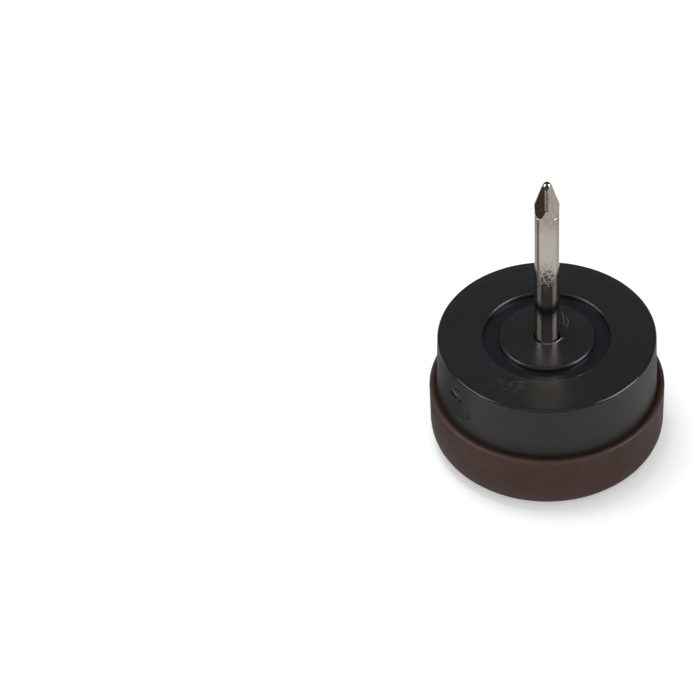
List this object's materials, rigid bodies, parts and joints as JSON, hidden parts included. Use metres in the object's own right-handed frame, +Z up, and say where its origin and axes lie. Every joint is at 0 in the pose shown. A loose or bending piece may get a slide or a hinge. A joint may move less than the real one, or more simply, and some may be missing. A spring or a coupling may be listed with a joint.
{
  "type": "nail-on furniture glide",
  "caption": "Round furniture glide: a pointed wire nail stands in a grooved hard collar over a soft, dished sole, and is hammered into the end of a wooden leg.",
  "frame": {"origin": "middle of the flat ring that the sole rests on", "axes": "+Z up along the nail, from the sole to the point"},
  "size_m": [0.024, 0.024, 0.0342],
  "materials": {
    "plated_steel": "bright nickel plate",
    "black_plastic": "smooth semi-gloss moulding",
    "brown_rubber": "fine matte grain"
  },
  "bodies": {
    "root": {"nail": "plated_steel", "collar": "black_plastic", "sole": "brown_rubber"}
  },
  "joints": []
}
